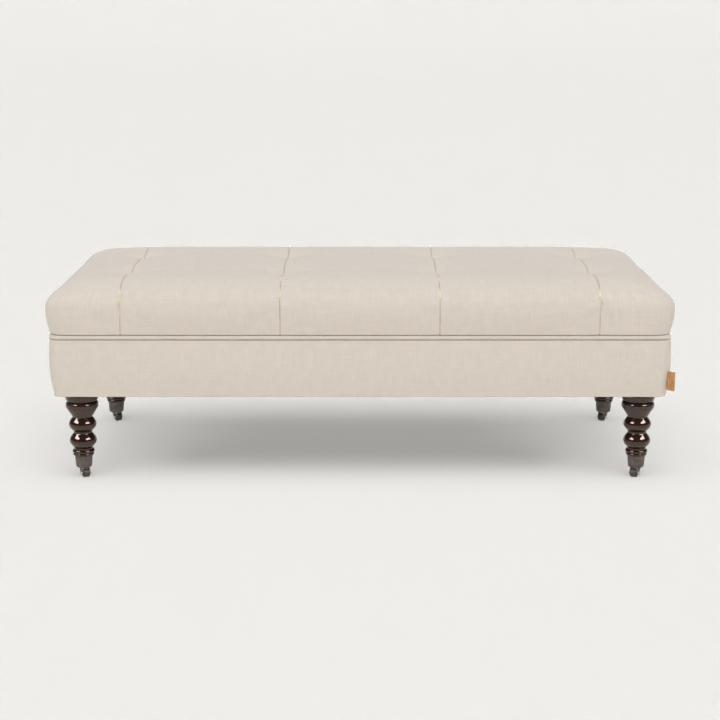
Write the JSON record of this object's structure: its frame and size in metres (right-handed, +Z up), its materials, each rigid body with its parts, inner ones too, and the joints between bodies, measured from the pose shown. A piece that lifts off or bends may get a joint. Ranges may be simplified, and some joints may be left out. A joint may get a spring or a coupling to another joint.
{
  "type": "storage ottoman",
  "caption": "Long upholstered bench ottoman whose square-tufted linen lid hinges up over a lined storage box, on turned legs with swivelling castors.",
  "frame": {"origin": "centre of the footprint, on the floor", "axes": "+X along the length, +Y to the hinged back, +Z up"},
  "size_m": [1.3, 0.6, 0.425],
  "materials": {
    "linen": "matt beige linen, plain weave with slubs",
    "linen_piping": "the same linen cut on the bias over a cord",
    "twine": "waxed upholstery twine",
    "lining": "plain cotton lining",
    "foam": "upholstery foam with a fibre wrap",
    "plywood": "bare birch plywood and softwood",
    "stained_wood": "dark espresso stain under gloss lacquer",
    "tan_leather": "smooth tan leather with dark cut edges",
    "dust_cloth": "black spun dust cloth",
    "antique_pewter": "satin antique pewter",
    "castor_wheel": "dark grey composition",
    "bumper_rubber": "soft black rubber",
    "washer_plastic": "black moulded washer",
    "strut_black": "black satin paint",
    "strut_rod": "polished rod",
    "zinc_steel": "bright zinc"
  },
  "bodies": {
    "box": {"front_rail": "plywood", "back_rail": "plywood", "left_rail": "plywood", "right_rail": "plywood", "frame_screws": "zinc_steel", "corner_blocks": "plywood", "floor_battens": "plywood", "floor_board": "plywood", "box_padding": "foam", "box_cover": "linen", "storage_lining": "lining", "dust_cover": "dust_cloth", "leather_tab": "tan_leather", "threaded_inserts": "zinc_steel", "hanger_bolts": "zinc_steel", "leg_front_left": "stained_wood", "leg_front_right": "stained_wood", "leg_back_left": "stained_wood", "leg_back_right": "stained_wood", "castor_cup_front_left": "antique_pewter", "castor_cup_front_right": "antique_pewter", "castor_cup_back_left": "antique_pewter", "castor_cup_back_right": "antique_pewter", "castor_cup_screws": "antique_pewter", "hinge_box_leaf": "zinc_steel", "hinge_pin": "zinc_steel", "hinge_box_screws": "zinc_steel", "lid_bumpers": "bumper_rubber", "strut_box_bracket_left": "zinc_steel", "strut_box_bracket_right": "zinc_steel", "strut_box_screws": "zinc_steel"},
    "lid": {"lid_board": "plywood", "lid_lining": "lining", "lid_foam": "foam", "lid_cover": "linen", "lid_piping": "linen_piping", "tufting_twines": "twine", "tufting_washers": "washer_plastic", "hinge_lid_leaf": "zinc_steel", "hinge_lid_screws": "zinc_steel", "strut_lid_bracket_left": "zinc_steel", "strut_lid_bracket_right": "zinc_steel", "strut_lid_screws": "zinc_steel"},
    "strut_cylinder_left": {"strut_cylinder_left": "strut_black"},
    "strut_rod_left": {"strut_rod_left": "strut_rod"},
    "strut_cylinder_right": {"strut_cylinder_right": "strut_black"},
    "strut_rod_right": {"strut_rod_right": "strut_rod"},
    "castor_front_left": {"castor_fork_front_left": "antique_pewter", "castor_axle_front_left": "zinc_steel"},
    "wheel_front_left": {"castor_wheel_front_left": "castor_wheel"},
    "castor_front_right": {"castor_fork_front_right": "antique_pewter", "castor_axle_front_right": "zinc_steel"},
    "wheel_front_right": {"castor_wheel_front_right": "castor_wheel"},
    "castor_back_left": {"castor_fork_back_left": "antique_pewter", "castor_axle_back_left": "zinc_steel"},
    "wheel_back_left": {"castor_wheel_back_left": "castor_wheel"},
    "castor_back_right": {"castor_fork_back_right": "antique_pewter", "castor_axle_back_right": "zinc_steel"},
    "wheel_back_right": {"castor_wheel_back_right": "castor_wheel"}
  },
  "joints": [
    {"name": "lid_hinge", "type": "hinge", "parent": "box", "child": "lid", "pos_m": [0, 0.2962, 0.3025], "axis": [-1, 0, 0], "range_deg": [0, 75]},
    {"name": "strut_pivot_left", "type": "hinge", "parent": "box", "child": "strut_cylinder_left", "pos_m": [-0.598, 0.2482, 0.2525], "axis": [-1, 0, 0], "range_deg": [0, 71.85]},
    {"name": "strut_slide_left", "type": "slide", "parent": "strut_cylinder_left", "child": "strut_rod_left", "axis": [0, -0.9642, 0.2653], "range_m": [0, 0.0838]},
    {"name": "strut_pivot_right", "type": "hinge", "parent": "box", "child": "strut_cylinder_right", "pos_m": [0.598, 0.2482, 0.2525], "axis": [-1, 0, 0], "range_deg": [0, 71.85]},
    {"name": "strut_slide_right", "type": "slide", "parent": "strut_cylinder_right", "child": "strut_rod_right", "axis": [0, -0.9642, 0.2653], "range_m": [0, 0.0838]},
    {"name": "castor_swivel_front_left", "type": "hinge", "parent": "box", "child": "castor_front_left", "pos_m": [-0.583, -0.244, 0.03], "axis": [0, 0, 1], "continuous": true},
    {"name": "wheel_spin_front_left", "type": "hinge", "parent": "castor_front_left", "child": "wheel_front_left", "pos_m": [-0.57825, -0.25223, 0.009], "axis": [-0.866, -0.5, 0], "continuous": true},
    {"name": "castor_swivel_front_right", "type": "hinge", "parent": "box", "child": "castor_front_right", "pos_m": [0.583, -0.244, 0.03], "axis": [0, 0, 1], "continuous": true},
    {"name": "wheel_spin_front_right", "type": "hinge", "parent": "castor_front_right", "child": "wheel_front_right", "pos_m": [0.57825, -0.25223, 0.009], "axis": [-0.866, 0.5, 0], "continuous": true},
    {"name": "castor_swivel_back_left", "type": "hinge", "parent": "box", "child": "castor_back_left", "pos_m": [-0.583, 0.244, 0.03], "axis": [0, 0, 1], "continuous": true},
    {"name": "wheel_spin_back_left", "type": "hinge", "parent": "castor_back_left", "child": "wheel_back_left", "pos_m": [-0.57825, 0.23577, 0.009], "axis": [-0.866, -0.5, 0], "continuous": true},
    {"name": "castor_swivel_back_right", "type": "hinge", "parent": "box", "child": "castor_back_right", "pos_m": [0.583, 0.244, 0.03], "axis": [0, 0, 1], "continuous": true},
    {"name": "wheel_spin_back_right", "type": "hinge", "parent": "castor_back_right", "child": "wheel_back_right", "pos_m": [0.57825, 0.23577, 0.009], "axis": [-0.866, 0.5, 0], "continuous": true}
  ],
  "couplings": [
    {"joint": "strut_pivot_left", "follows": "lid_hinge", "ratio": 0.95739},
    {"joint": "strut_slide_left", "follows": "lid_hinge", "m_per_rad": 0.063947},
    {"joint": "strut_pivot_right", "follows": "lid_hinge", "ratio": 0.95739},
    {"joint": "strut_slide_right", "follows": "lid_hinge", "m_per_rad": 0.063947}
  ]
}
